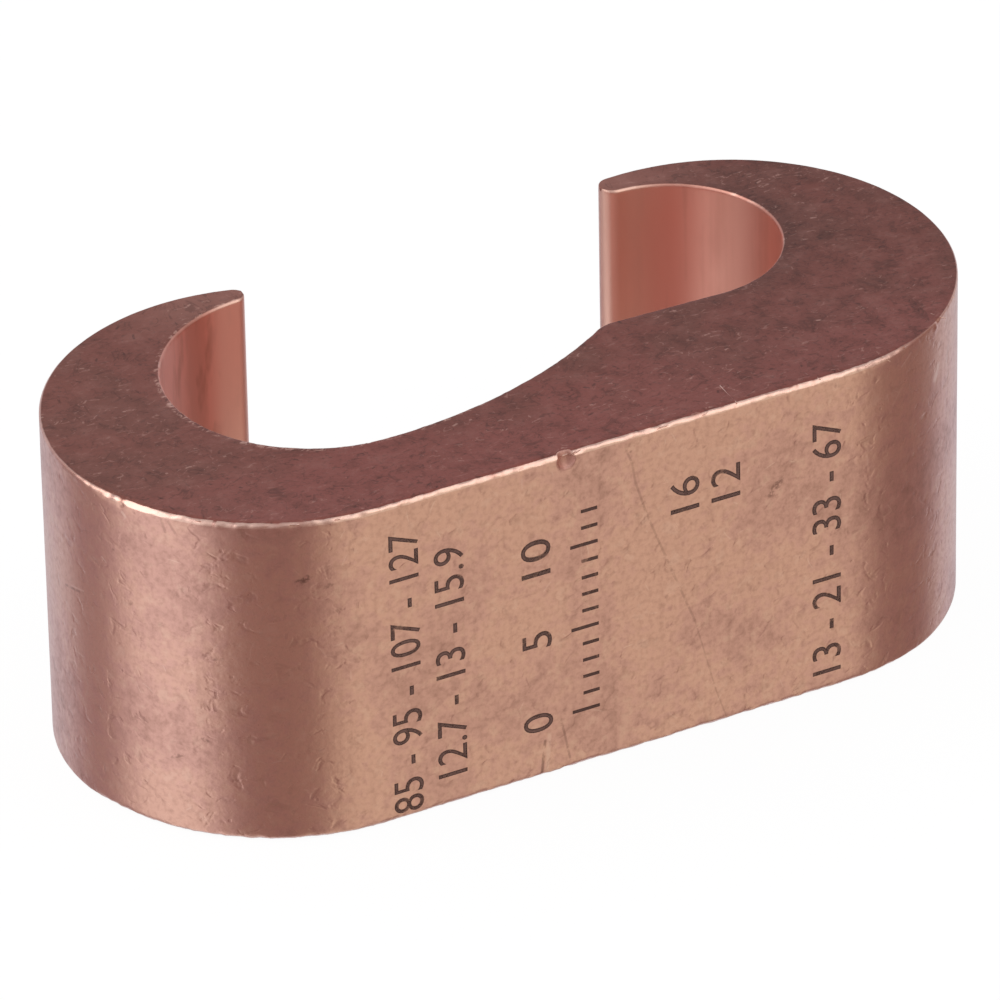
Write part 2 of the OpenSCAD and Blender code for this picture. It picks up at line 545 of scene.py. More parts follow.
# Smudges, some of them painted shade of small dents: centre, half sizes, turn in degrees and strength
SMUDGES_AND_DENT_SHADE = (
    ((9.5, 13.4), (0.8, 0.3), 50, 0.5),
    ((-17.7, 15.7), (0.66, 0.26), 28, 0.6),
    ((-16.4, 15.2), (0.5, 0.16), 20, 0.3),
    ((-28.09, 15.96), (0.2, 0.13), 40, 0.3),
    ((-27.13, 16.38), (0.22, 0.13), -30, 0.3),
    ((-27.1, 13.1), (0.24, 0.13), 60, 0.3),
    ((-22.1, 10.9), (0.45, 0.14), 8, 0.35),
    ((-18.6, 10.1), (0.34, 0.24), 30, 0.2),
    ((-23.0, 5.9), (0.3, 0.15), -20, 0.45),
    ((-24.6, 4.6), (0.6, 0.15), 25, 0.35),
)
# Places where the upper edge is nicked through: way along the wall and half width
GAPS = ((-27.58, 0.28), (-22.2, 0.14), (-2.75, 0.5))


def metal(b, color, rough, height):
    """Bare metal of a colour and a roughness, with fine relief."""
    bump = b.node("ShaderNodeBump", None, {"Strength": 0.4, "Distance": 0.02 * MM, "Height": height})
    return b.node(
        "ShaderNodeBsdfPrincipled", None,
        {"Base Color": color, "Metallic": 1.0, "Roughness": rough, "Normal": bump})


def drawn_wall(b, colors, along, z, hollow):
    """Outer walls: slow clouds of tarnish, rosy patches, mottles, grain, faint lines along the bar."""
    spot = b.vector(along, z)
    clouds = b.noise(spot, 0.14, 2)
    mottle = b.noise(spot, 1.05, 4, 0.62)
    grain = b.noise(spot, 3.2, 2, 0.6)
    drawn = b.noise(b.vector(along, z * 0.04), 1.9, 2)
    dull = b.smooth(clouds, 0.45, 0.7) * 0.14 + b.smooth(mottle * 0.75 + clouds * 0.4, 0.56, 0.8) * 0.26
    dull = dull + b.smooth(grain, 0.4, 0.75) * 0.22 + b.smooth(drawn, 0.5, 0.75) * 0.08
    wall = b.mix(b.smooth(mottle * 0.5 + clouds * 0.5, 0.42, 0.58), colors.wall_color, colors.wall_rose)
    wall = b.mix(dull, wall, colors.wall_tarnish)
    wall = b.mix(b.smooth(mottle, 0.44, 0.3) * 0.16, wall, colors.bright_color)

    # Soft dents, stain marks, creases, smudges and rubs of the skin; the dents and the smudges that stand for
    # small dents are darkened as painted shade
    dents = b.smooth(b.noise(b.vector(along * 0.8, z), 1.2, 2, 0.55, 0.4), 0.54, 0.8)
    nicks = b.scratches(along + 7.0, z, 0.8, 0.5, 5.0, 0.22, 0.09, 0.22)
    creases = b.most(b.stroke(along, z, points, width) * strength for points, width, strength in CREASES)
    smudge_and_dent_shade = b.most(b.spot(along, z, centre, radii, turn) * power for centre, radii, turn, power in SMUDGES_AND_DENT_SHADE)
    broken = b.smooth(mottle, 0.34, 0.5)
    # Marks darkened towards the stain colour, with painted shade in the dents
    stains_and_dent_shade = (creases + smudge_and_dent_shade * b.smooth(grain, 0.35, 0.6)) * broken + dents * 0.12 + nicks * 0.12
    wall = b.mix(stains_and_dent_shade, wall, colors.cut_dark)
    rubs = b.most(b.stroke(along, z, points, width) * strength for points, width, strength in RUBS)
    rubs = rubs + b.scratches(along, z, 0.6, 0.4, 4.0, 0.3, 0.03, 0.34) * 0.3
    wall = b.mix(rubs, wall, colors.bright_color)
    return metal(
        b, wall, grain * 0.1 + dull * 0.12 + hollow * 0.25 + 0.25,
        grain * 0.5 + mottle * 1.9 - dents * 1.8 - nicks * 0.8)


def groove_wall(b, colors, along, z, inner):
    """Grooves: cleaner and redder, with streaks along the bar."""
    streaks = b.noise(b.vector(along, z * 0.03), 0.55, 3, 0.65)
    smears = b.noise(b.vector(along, z * 0.25), 1.1, 3)
    streaks = b.smooth(streaks * 0.75 + smears * 0.25, 0.5, 0.68) * 0.24
    groove = b.mix(streaks, colors.groove_color, colors.groove_streak_and_shade)
    # A darker streak near the run arm's tip, painted shade on the end wall of the tap groove, paler colour at
    # both tips
    shade = b.smooth(abs(along + (smears - 0.5) * 1.6 + 32.0), 1.1, 0.5) * 0.3
    # Painted shade: the tap groove's end wall is darkened towards the streak colour
    shade = shade + b.smooth(along, 27.5, 25.0) * b.smooth(along, 8.0, 12.0) * 0.42
    shade = shade + b.smooth(smears, 0.52, 0.7) * b.smooth(along, -28.5, -30.5) * 0.3
    groove = b.mix(shade * inner, groove, colors.groove_streak_and_shade)
    pale = b.smooth(along, -32.6, -34.0) * 0.7 + b.smooth(along, 28.3, 31.0) * 0.7
    groove = b.mix(pale * inner, groove, colors.bright_color)
    return metal(b, groove, smears * 0.1 + 0.4, smears * 0.6)


def cut_face(b, colors, site, inner):
    """Cut faces: dull brown, gray in clouds, redder in front, with blotches, grit and clustered dashes."""
    x, y, z = b.parts(site)
    spot = b.vector(x + z, y)
    blotch = b.noise(spot, 0.7, 4, 0.64)
    grit = b.noise(spot, 4.2, 2, 0.6)
    crowd = b.noise(spot, 0.2, 2)
    flecks = b.noise(b.vector(x * 0.75 + z, y * 1.5), 2.3, 3, 0.7, 0.8)
    face = b.mix(b.smooth(crowd, 0.4, 0.6), colors.cut_color, colors.cut_gray)
    face = b.mix(b.smooth(y + (crowd - 0.5) * 8.0, -2.0, -10.0) * 0.8, face, colors.cut_red)
    stain = b.smooth(blotch, 0.5, 0.74) * 0.3 + b.smooth(grit, 0.52, 0.76) * 0.26
    stain = stain + b.smooth(flecks, 0.42, 0.27) * 0.5 + b.smooth(x, 0.0, 14.0) * 0.12
    stain = stain + b.smooth(inner, 0.78, 1.0) * b.smooth(x, 12.0, 18.0) * 0.25
    face = b.mix(stain, face, colors.cut_dark)
    tips = b.smooth(y, 7.0, 11.0) * b.smooth(abs(x), 19.0, 12.0) * 0.55 + b.smooth(x, -12.0, -22.0) * 0.12
    face = b.mix(b.smooth(blotch, 0.46, 0.28) * 0.14 + tips, face, colors.groove_streak_and_shade)

    # Cracks and veins, then dashes that show the metal
    crowd = b.smooth(crowd, 0.42, 0.6)
    cracks = b.scratches(x + 11.0, y + z, 0.8, 1.4, 2.6, 0.3, 0.075, 0.4) * b.smooth(grit, 0.38, 0.5)
    veins = b.smooth(abs(b.noise(spot, 0.5, 3, 0.62, 0.7) - 0.5), 0.032, 0.006)
    veins = veins * b.smooth(blotch, 0.44, 0.56)
    face = b.mix(cracks * (1 - crowd * 0.5) * 0.6 + veins * 0.34, face, colors.cut_dark)
    marks = b.scratches(x + z, y, 0.62, 0.0, 0.9, 0.26, 0.06, 0.55) * b.smooth(grit, 0.36, 0.56)
    marks = (marks + b.smooth(flecks, 0.6, 0.72) * 0.7) * (crowd * 0.7 + 0.3)
    # Bright crumbs along the lip of the run groove
    lip = b.smooth(inner, 0.95, 0.98) * b.smooth(abs(x + 13.0), 10.0, 6.0)
    marks = marks + lip * b.smooth(flecks, 0.5, 0.6) * 1.2
    face = b.mix(marks * 0.42, face, colors.wall_color)
    return metal(b, face, blotch * 0.2 + 0.42 - marks * 0.08, blotch * 2.2 + grit * 1.0 + flecks * 1.6)


def worn_edge(b, colors, along, z, edge, inner):
    """Share of fresh metal on the edges, in patches and less on the far ends, and the metal itself."""
    patches = b.noise(b.vector(along, z), 1.5, 2)
    far = b.smooth(along, 15.5, 19.0) * 0.9 + b.smooth(along, -28.5, -31.0) * 0.6
    far = far + b.smooth(abs(along + 18.6), 2.0, 0.8) * 0.4
    far = far.math("MAXIMUM", b.most(b.smooth(abs(along - way), width, width * 0.4) for way, width in GAPS))
    worn = b.smooth(edge * (1 - inner * 0.2) + patches * 0.5, 1.05, 1.3) * 0.85 * (1 - far * (1 - inner))
    fresh = b.mix(b.smooth(patches, 0.4, 0.7) * 0.4, colors.bright_color, colors.wall_color)
    return worn, metal(b, fresh, 0.34, patches)


def copper_material(colors):
    """Bare copper: drawn walls, streaked grooves, dull cut faces and worn edges, each where the body says."""
    material, b = new_material("bare_copper")
    cut, edge, inner, along = (
        b.node("ShaderNodeAttribute", {"attribute_name": name})["Fac"]
        for name in ("cut", "edge", "inner", "along"))
    along = along / MM
    site = b.scale(b.node("ShaderNodeTexCoord")["Object"], 1 / MM)
    z = b.parts(site)[2]
    # The front's dent has a dull hollow, with no cut face in it
    hollow = b.most(
        b.smooth(b.vector_math("DISTANCE", site, centre)["Value"], ball * 1.12, ball * 1.02)
        for centre, ball in (FRONT_DENT_TOP, FRONT_DENT))
    outer = drawn_wall(b, colors, along, z, hollow)
    groove = groove_wall(b, colors, along, z, inner)
    walls = b.blend(b.smooth(inner, 0.4, 0.6), outer, groove)
    skin = b.blend(b.smooth(cut * (1 - hollow), 0.5, 0.95), walls, cut_face(b, colors, site, inner))
    worn, fresh = worn_edge(b, colors, along, z, edge, inner)
    skin = b.blend(worn, skin, fresh)
    b.node("ShaderNodeOutputMaterial", None, {"Surface": skin})
    return material


def ink_material(name, color, patchy):
    """Marking ink, thin in patches so that the copper shows through."""
    material, b = new_material(name)
    spot = b.scale(b.node("ShaderNodeTexCoord")["Object"], 1 / MM)
    cover = b.noise(spot, 2.6, 3, 0.65, dimensions="3D")
    blotch = b.noise(spot, 0.6, 2, 0.5, dimensions="3D")
    mottled = (0.12, 0.06, 0.05)
    shade = b.mix(b.smooth(cover, 0.4, 0.7) * 0.5, color, mottled)
    alpha = b.smooth(cover * 0.6 + blotch * 0.5, patchy, patchy + 0.2, 0.35, 0.96)
    shader = b.node(
        "ShaderNodeBsdfPrincipled", None,
        {"Base Color": shade, "Roughness": 0.5, "Specular IOR Level": 0.3, "Alpha": alpha})
    b.node("ShaderNodeOutputMaterial", None, {"Surface": shader})
    return material


def seen_rays(b):
    """Light paths, and those of them by which the camera sees a place, straight or through something."""
    rays = b.node("ShaderNodeLightPath")
    return rays, rays["Is Camera Ray"].math("MAXIMUM", rays["Is Transmission Ray"])


def finish_of(name):
    """Material of that name, made on first use."""
    colors = bpy.context.scene.connector_finish
    makers = {
        "bare_copper": lambda: copper_material(colors),
        "marking_ink": lambda: ink_material("marking_ink", colors.ink_color, patchy=0.36),
        "faded_ink": lambda: ink_material("faded_ink", colors.ink_faded, patchy=0.44),
    }
    return bpy.data.materials.get(name) or makers[name]()


# Operators


class CONNECTOR_OT_body(bpy.types.Operator):
    """Lofts the copper body between its outer and inner edge, and wears its edges"""

    bl_idname = "connector.body"
    bl_label = "Copper Body"

    # Dents that a ball of a radius would press, with its centre, in millimetres
    DENTS = (
        FRONT_DENT_TOP,
        FRONT_DENT,
        ((1.45, -12.08, 19.16), 0.22),
        ((-24.64, -4.73, 19.12), 0.30),
        ((-24.64, -4.73, 18.82), 0.23),
        ((-4.42, -12.14, 0.02), 0.30),
        ((20.55, -9.85, 19.2), 0.30),
    )
    # Stretch of the edges that handling wears: middle, half length without and with its fade, in millimetres
    HANDLED = (-6.5, 22.0, 26.0)
    # Sharper ends of the outer edge: where they start, way until they are full, share of the round lost
    SHARP_ENDS = ((15.5, 4.5, 0.6), (-28.5, -2.5, 0.5))
    # Lengths of the run end's edge that are worn flat: angle round the end in degrees, depth in millimetres
    FLATS = ((200, 0.17), (208, 0.235), (216, 0.21))
    # Nicks in the run groove's lip: angle round the groove in degrees, radius in millimetres
    NICKS = (
        (197, 0.17), (203, 0.22), (207, 0.16), (212, 0.2), (215, 0.16), (221, 0.24), (226, 0.18), (232, 0.2),
        (241, 0.22), (252, 0.2), (262, 0.24))
    # Lumps raised on an edge, with their radius, in millimetres
    LUMPS = (
        ((-21.32, -9.06, 18.98), 0.26),
        ((-20.42, -9.73, 18.98), 0.22),
        ((20.25, -9.9, 18.75), 0.25),
    )

    def execute(self, context):
        shape = context.scene.connector_shape
        outer, inner = edges_of_profile(shape)
        ring = bar_section(shape)
        guide = guide_mesh(
            "body_guide", [(p.x, p.y, 0.0) for p in outer + inner] + [point[:3] for point in ring])
        ways = lengths_along(outer)
        widths = [self.edge_share(way / MM) for way in ways] + [1.0] * len(inner)
        ways += lengths_along(inner)
        blank = [0.0] * len(ways)
        for name, values in (
            ("along", ways + [0.0] * len(ring)),
            ("width", widths + [0.0] * len(ring)),
            ("cut", blank + [point[3] for point in ring]),
            ("edge", blank + [point[4] for point in ring]),
            ("tip", blank + [point[5] for point in ring]),
        ):
            guide.attributes.new(name, "FLOAT", "POINT").data.foreach_set("value", values)
        body = run_tree("copper_body", guide, self.loft_tree(), {
            "Columns": len(outer), "Rows": len(ring), "Edge Round": shape.edge_round,
            "Height": HEIGHT, "Skin Wave": shape.skin_wave, "Edge Wear": shape.edge_wear,
            "Seed": float(shape.seed), "Finish": finish_of("bare_copper")})
        place(body, "copper")
        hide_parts(NODE)
        return {"FINISHED"}

    def edge_share(self, way):
        """Share of the full edge round: the edges are sharper towards the back of both ends."""
        return 1.0 - sum(
            loss * min(1.0, max(0.0, (way - first) / length)) for first, length, loss in self.SHARP_ENDS)

    def loft_tree(self):
        tree, b, start = new_tree("bar_loft", {
            "Columns": "Int", "Rows": "Int", "Edge Round": "Float", "Height": "Float",
            "Skin Wave": "Float", "Edge Wear": "Float", "Seed": "Float", "Finish": "Material"})
        guide, columns, rows = start["Geometry"], start["Columns"], start["Rows"]
        height, radius = start["Height"], start["Edge Round"]
        index = b.node("GeometryNodeInputIndex")
        # Keeps whole numbers from being rounded down
        hair = 1e-5
        column = (index / rows + hair).math("FLOOR")
        row = index - column * rows + columns * 2

        def sampled(value, at, kind="FLOAT_VECTOR"):
            return b.node(
                "GeometryNodeSampleIndex", {"data_type": kind, "domain": "POINT"},
                {"Geometry": guide, "Value": value, "Index": at})

        def kept(name, at):
            return sampled(b.attribute(name), at, "FLOAT")

        position = b.node("GeometryNodeInputPosition")
        outer = sampled(position, column)
        share, inset, z = b.parts(sampled(position, row))
        way = b.vector_math("SUBTRACT", sampled(position, column + columns), outer)
        width = b.vector_math("LENGTH", way)["Value"]
        narrow = 1 - (1 - kept("width", column)) * (1 - share)
        # The edge rounds narrow with a narrow tip, so that both fit on it
        inset = inset * (width * 0.3 / radius).math("MINIMUM", 1.0) * (1 - share * 2) * narrow
        # A narrower edge is lower too, and the wall stretches up to it
        gap = height / 2 - abs(z - height / 2)
        stretch = (1 - narrow) * radius / (height / 2 - radius) + 1
        gap = gap.math("MINIMUM", radius) * narrow + (gap - radius).math("MAXIMUM", 0.0) * stretch
        z = height / 2 + (z - height / 2).math("SIGN") * (height / 2 - gap)
        # Outer and inner wall close on each other at the tips
        z = z + (kept("tip", row) - z) * b.math("COMPARE", width, 0.0, 10 * MERGE)
        # Where an arm's tip is narrower than two edge rounds, its corners come down with it
        drop = radius * (1 - (width / (radius * 2)).math("MINIMUM", 1.0))
        z = height / 2 + (z - height / 2) * (1 - drop * 2 / height)
        ahead = b.scale(b.vector_math("NORMALIZE", way), inset)
        spot = b.vector_math("ADD", b.vector_math("ADD", outer, b.scale(way, share)), ahead)
        spot = b.vector_math("ADD", spot, b.vector(0.0, 0.0, z))

        body = b.node("GeometryNodeMeshGrid", None, {"Vertices X": columns, "Vertices Y": rows})
        side = (share + hair).math("FLOOR")
        for name, value in (
            ("cut", kept("cut", row)),
            ("edge", kept("edge", row)),
            ("inner", share),
            ("along", kept("along", column + columns * side)),
        ):
            body = b.store(body, name, value)
        body = b.node("GeometryNodeSetPosition", None, {"Geometry": body, "Position": spot})
        body = b.node("GeometryNodeMergeByDistance", None, {"Geometry": body, "Distance": MERGE})
        body = b.node("GeometryNodeSetShadeSmooth", None, {0: self.worn(b, body, start)})
        end_tree(b, body, start["Finish"])
        return tree

    def worn(self, b, body, start):
        """Body with the waves of its skin, its worn edges, its dents and its lumps."""
        position, normal = b.node("GeometryNodeInputPosition"), b.node("GeometryNodeInputNormal")

        def moved(geometry, offset):
            return b.node("GeometryNodeSetPosition", None, {"Geometry": geometry, "Offset": offset})

        # Waves of the skin and wear of the edges go inwards only
        shift = b.vector(start["Seed"], start["Seed"] * 2, 0.0)
        site = b.vector_math("ADD", b.scale(position, 1 / MM), shift)
        slow = b.noise(site, 0.22, 3, dimensions="3D")
        quick = b.noise(site, 1.2, 4, 0.62, dimensions="3D")
        middle, near, far = (way * MM for way in self.HANDLED)
        handled = b.smooth(abs(b.attribute("along") - middle), near, far, 1.0, 0.1)
        wear = b.attribute("edge") * handled * (1 - b.attribute("inner") * 0.6) * start["Edge Wear"]
        wear = wear * (quick - 0.3).math("MAXIMUM", 0.0) * 2
        body = moved(body, b.scale(normal, (slow * 2 * start["Skin Wave"] + wear) * -1))

        balls = [self.flat(*mark) for mark in self.FLATS] + [self.nick(*mark) for mark in self.NICKS]
        for centre, ball in (*self.DENTS, *balls):
            middle = [c * MM for c in centre]
            out = b.vector_math("SUBTRACT", position, middle)
            push = (ball * MM / b.vector_math("LENGTH", out)["Value"]).math("MAXIMUM", 1.0) - 1
            body = moved(body, b.scale(out, push))
        for centre, size in self.LUMPS:
            gap = b.vector_math("DISTANCE", position, [c * MM for c in centre])["Value"]
            body = moved(body, b.scale(normal, b.smooth(gap, size * MM, 0.0, 0.0, 0.3 * size * MM)))
        return body

    def nick(self, angle, ball):
        """Small ball that nicks the run groove's upper lip."""
        centre, groove_r = groove_of("run_groove")
        turn, off = math.radians(angle), 0.06
        spot = centre / MM + (groove_r / MM - off) * Vector((math.cos(turn), math.sin(turn)))
        return (spot.x, spot.y, HEIGHT / MM + off), ball

    def flat(self, angle, depth):
        """Large ball that wears the run end's upper edge flat."""
        ball, end_r = 30.0, DEPTH / (2 * MM)
        turn = math.radians(angle)
        out = Vector((math.cos(turn), math.sin(turn), 1.0)) * math.sqrt(0.5)
        corner = Vector((LOW.x / MM + end_r * (1 + math.cos(turn)), end_r * math.sin(turn), HEIGHT / MM))
        return tuple(corner + out * (ball - depth)), ball


class CONNECTOR_OT_burrs(bpy.types.Operator):
    """Hangs fine burrs along the front of the edge that the saw left round the upper cut face"""

    bl_idname = "connector.burrs"
    bl_label = "Edge Burrs"

    # Loose burrs that lie across the edge: both ends, in millimetres
    LOOSE = (
        ((20.50, -8.98, 19.07), (20.92, -9.72, 19.00)),
        ((22.05, -7.80, 19.05), (22.46, -8.04, 18.95)),
        ((11.81, -11.07, 19.07), (12.21, -11.87, 19.01)),
        ((7.40, -9.90, 19.08), (7.26, -11.84, 19.03)),
        ((16.05, -11.50, 19.06), (16.50, -11.68, 18.72)),
    )

    def execute(self, context):
        shape = context.scene.connector_shape
        outer, inner = edges_of_profile(shape)
        inset = shape.edge_round * (1 - math.sqrt(0.5))
        points = []
        for a, b in zip(outer, inner):
            # Only on the side of the front face
            if a.y < 0.2 * FRONT:
                spot = a + (b - a).normalized() * inset
                points.append((spot.x, spot.y, HEIGHT - inset))
        edges = [(k, k + 1) for k in range(len(points) - 1)]
        loose = [[Vector(p) * MM for p in ends] for ends in self.LOOSE]
        reaches = [Vector()] * len(points) + [b - a for a, b in loose]
        guide = guide_mesh("burr_guide", points + [(a + b) / 2 for a, b in loose], edges)
        guide.attributes.new("reach", "FLOAT_VECTOR", "POINT").data.foreach_set(
            "vector", [c for reach in reaches for c in reach])
        burrs = run_tree("edge_burrs", guide, self.burr_tree(), {
            "Places": shape.burr_count, "Share": shape.burr_share, "Length": shape.burr_length,
            "Thickness": shape.burr_thickness, "Low": LOW, "High": HIGH, "Seed": shape.seed,
            "Finish": finish_of("bare_copper")})
        place(burrs, "copper")
        return {"FINISHED"}

    def burr_tree(self):
        tree, b, start = new_tree("edge_burr_row", {
            "Places": "Int", "Share": "Float", "Length": "Float", "Thickness": "Float",
            "Low": "Vector", "High": "Vector", "Seed": "Int", "Finish": "Material"})
        sliver = b.node("GeometryNodeCurveQuadraticBezier", None, {
            "Resolution": 5, "Start": (-0.5, 0.0, 0.0), "Middle": (0.1, 0.0, 0.0), "End": (0.5, 0.12, 0.05)})
        taper = b.node("GeometryNodeSplineParameter")["Factor"] * 2 - 1
        sliver = b.node("GeometryNodeSetCurveRadius", None, {"Curve": sliver, "Radius": 1.05 - taper * taper})
        ring = b.node("GeometryNodeCurvePrimitiveCircle", None, {"Resolution": 4, "Radius": 1.0})
        ring_r = 0.05
        ring = b.node("GeometryNodeTransform", None, {"Geometry": ring, "Scale": (ring_r, ring_r, ring_r)})
        sliver = b.node("GeometryNodeCurveToMesh", None, {
            "Curve": sliver, "Profile Curve": ring, "Fill Caps": True})

        def chance(kind, low, high, number):
            first = {"FLOAT": 2, "FLOAT_VECTOR": 0}[kind]
            wire = b.node("FunctionNodeRandomValue", {"data_type": kind}, {
                first: low, first + 1: high, "Seed": start["Seed"] + number})
            return wire[{"FLOAT": 1, "FLOAT_VECTOR": 0}[kind]]

        path = b.node("GeometryNodeMeshToCurve", None, {"Mesh": start["Geometry"]})
        spots = b.node("GeometryNodeCurveToPoints", {"mode": "COUNT"}, {
            "Curve": path, "Count": start["Places"]})
        turn = b.node("FunctionNodeAlignRotationToVector", {"axis": "X"}, {"Vector": spots["Tangent"]})
        tilt = b.node("FunctionNodeEulerToRotation", None, {
            0: chance("FLOAT_VECTOR", (-3.0, -0.1, -0.2), (3.0, 0.1, 0.2), 1)})
        turn = b.node("FunctionNodeRotateRotation", {"rotation_space": "LOCAL"}, {0: turn, 1: tilt})
        thick = start["Thickness"] * chance("FLOAT", 0.5, 1.0, 2) * (1 / ring_r)
        size = b.vector(start["Length"] * chance("FLOAT", 0.25, 1.0, 3), thick, thick)
        kept = b.node("FunctionNodeCompare", {"data_type": "FLOAT", "operation": "LESS_THAN"}, {
            0: chance("FLOAT", 0.0, 1.0, 4), 1: start["Share"]})
        burrs = b.node("GeometryNodeInstanceOnPoints", None, {
            "Points": spots, "Selection": kept, "Instance": sliver, "Rotation": turn, "Scale": size})
        reach = b.attribute("reach", "FLOAT_VECTOR")
        long = b.vector_math("LENGTH", reach)["Value"]
        lone = b.node("FunctionNodeCompare", {"data_type": "FLOAT", "operation": "GREATER_THAN"}, {
            0: long, 1: 0.0})
        turn = b.node("FunctionNodeAlignRotationToVector", {"axis": "X"}, {"Vector": reach})
        thick = start["Thickness"] * (1 / ring_r)
        loose = b.node("GeometryNodeInstanceOnPoints", None, {
            "Points": start["Geometry"], "Selection": lone, "Instance": sliver, "Rotation": turn,
            "Scale": b.vector(long, thick, thick)})
        burrs = b.node("GeometryNodeJoinGeometry", None, {0: burrs})
        b.tree.links.new(loose.socket, burrs.node.inputs[0])
        burrs = b.node("GeometryNodeRealizeInstances", None, {0: burrs})
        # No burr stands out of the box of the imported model
        spot = b.vector_math("MINIMUM", b.node("GeometryNodeInputPosition"), start["High"])
        spot = b.vector_math("MAXIMUM", spot, start["Low"])
        burrs = b.node("GeometryNodeSetPosition", None, {"Geometry": burrs, "Position": spot})
        # Fresh metal all over, as on a worn edge
        for name, value in (("edge", 1.4), ("cut", 0.0)):
            burrs = b.store(burrs, name, value)
        end_tree(b, burrs, start["Finish"])
        return tree


class CONNECTOR_OT_numbers(bpy.types.Operator):
    """Prints plain numbers on the front face: metric sizes of conductors, and the scale's figures"""

    bl_idname = "connector.numbers"
    bl_label = "Printed Numbers"

    # Text, place of its foot along X, and its ends along Z, in millimetres
    LINES = (
        ("85 - 95 - 107 - 127", -11.36, 0.4, 17.3),
        ("12.7 - 13 - 15.9", -8.78, 1.8, 15.6),
        ("0", -3.75, 2.85, 3.95),
        ("5", -3.75, 7.9, 8.9),
        ("10", -3.75, 12.3, 14.5),
        ("16", 5.0, 13.6, 15.6),
        ("12", 7.4, 13.6, 15.6),
        ("13 - 21 - 33 - 67", 13.4, 1.1, 16.5),
    )
    # Offset that thins the strokes of the faded layer, and share of its depth that the full one is sunk
    THINNED, SUNK = -0.024, 0.15

    def execute(self, context):
        sizes = context.scene.connector_print
        mesh = bpy.data.meshes.new("printed_numbers")
        bm = bmesh.new()
        for words, foot, low, high in self.LINES:
            full = self.outline(words, 0.0)
            corners = [[f(v.co[k] for v in full.vertices) for k in (0, 1)] for f in (min, max)]
            across = (high - low) * MM / (corners[1][0] - corners[0][0])
            tall = sizes.figure_height / (corners[1][1] - corners[0][1])
            depth = sizes.ink_depth
            layers = (full, FRONT + self.SUNK * depth), (self.outline(words, self.THINNED), FRONT)
            for layer, (part, top) in enumerate(layers):
                # Text runs up the face, with its feet towards the tap groove
                rows = (
                    (0.0, -tall, 0.0, foot * MM + corners[0][1] * tall),
                    (0.0, 0.0, -depth, top + depth / 2),
                    (across, 0.0, 0.0, low * MM - corners[0][0] * across),
                    (0.0, 0.0, 0.0, 1.0))
                part.transform(Matrix(rows))
                first = len(bm.faces)
                bm.from_mesh(part)
                bm.faces.ensure_lookup_table()
                for face in bm.faces[first:]:
                    face.material_index = layer
                bpy.data.meshes.remove(part)
        bmesh.ops.remove_doubles(bm, verts=bm.verts, dist=MERGE)
        self.turn_outwards(bm)
        bm.to_mesh(mesh)
        bm.free()
        for name in ("marking_ink", "faded_ink"):
            mesh.materials.append(finish_of(name))
        place(link(bpy.data.objects.new("printed_numbers", mesh)), "ink")
        return {"FINISHED"}

    def turn_outwards(self, bm):
        """Recalculates the normals, and turns round each figure that comes out inside out."""
        bmesh.ops.recalc_face_normals(bm, faces=bm.faces)
        bm.normal_update()
        seen = set()
        for first in bm.faces:
            if first in seen:
                continue
            seen.add(first)
            figure = [first]
            for face in figure:
                near = [f for edge in face.edges for f in edge.link_faces if f not in seen]
                seen.update(near)
                figure += dict.fromkeys(near)
            if sum(f.calc_center_median().dot(f.normal) * f.calc_area() for f in figure) < 0:
                bmesh.ops.reverse_faces(bm, faces=figure)

    def outline(self, words, offset):
        """Solid figures of unit depth, their strokes thinned by an offset."""
        curve = bpy.data.curves.new("figures", "FONT")
        curve.body = words
        curve.offset = offset
        curve.extrude = 0.5
        curve.resolution_u = 5
        holder = link(bpy.data.objects.new("figures", curve))
        depsgraph = bpy.context.evaluated_depsgraph_get()
        mesh = bpy.data.meshes.new_from_object(holder.evaluated_get(depsgraph), depsgraph=depsgraph)
        bpy.data.objects.remove(holder)
        bpy.data.curves.remove(curve)
        return mesh


class CONNECTOR_OT_scale(bpy.types.Operator):
    """Prints the ticks of a strip scale beside its figures"""

    bl_idname = "connector.scale"
    bl_label = "Strip Scale"

    # Foot of the ticks along X and first tick along Z, in millimetres
    FOOT, FIRST = -1.0, 3.4

    def execute(self, context):
        sizes = context.scene.connector_print
        guide = guide_mesh("scale_guide", [(self.FOOT * MM, FRONT, self.FIRST * MM)])
        ticks = run_tree("strip_scale", guide, self.tick_tree(), {
            "Count": sizes.tick_count, "Pitch": sizes.tick_pitch, "Short": sizes.tick_length,
            "Long": sizes.long_tick_length, "Width": sizes.tick_width, "Depth": sizes.ink_depth,
            "Start": (self.FOOT * MM, FRONT, self.FIRST * MM), "Finish": finish_of("marking_ink")})
        place(ticks, "ink")
        return {"FINISHED"}

    def tick_tree(self):
        tree, b, start = new_tree("tick_row", {
            "Count": "Int", "Pitch": "Float", "Short": "Float", "Long": "Float", "Width": "Float",
            "Depth": "Float", "Start": "Vector", "Finish": "Material"})
        row = b.node("GeometryNodeMeshLine", {"mode": "OFFSET"}, {
            "Count": start["Count"], "Start Location": start["Start"],
            "Offset": b.vector(0.0, 0.0, start["Pitch"])})
        index = b.node("GeometryNodeInputIndex")
        fifth = 1 - index.math("MODULO", 5.0).math("MINIMUM", 1.0)
        reach = start["Short"] + (start["Long"] - start["Short"]) * fifth
        row = b.node("GeometryNodeSetPosition", None, {
            "Geometry": row, "Offset": b.vector(reach * -0.5, start["Depth"] * 0.5, 0.0)})
        tick = b.node("GeometryNodeMeshCube", None, {"Size": (1.0, 1.0, 1.0)})
        ticks = b.node("GeometryNodeInstanceOnPoints", None, {
            "Points": row, "Instance": tick, "Scale": b.vector(reach, start["Depth"], start["Width"])})
        end_tree(b, ticks, start["Finish"])
        return tree


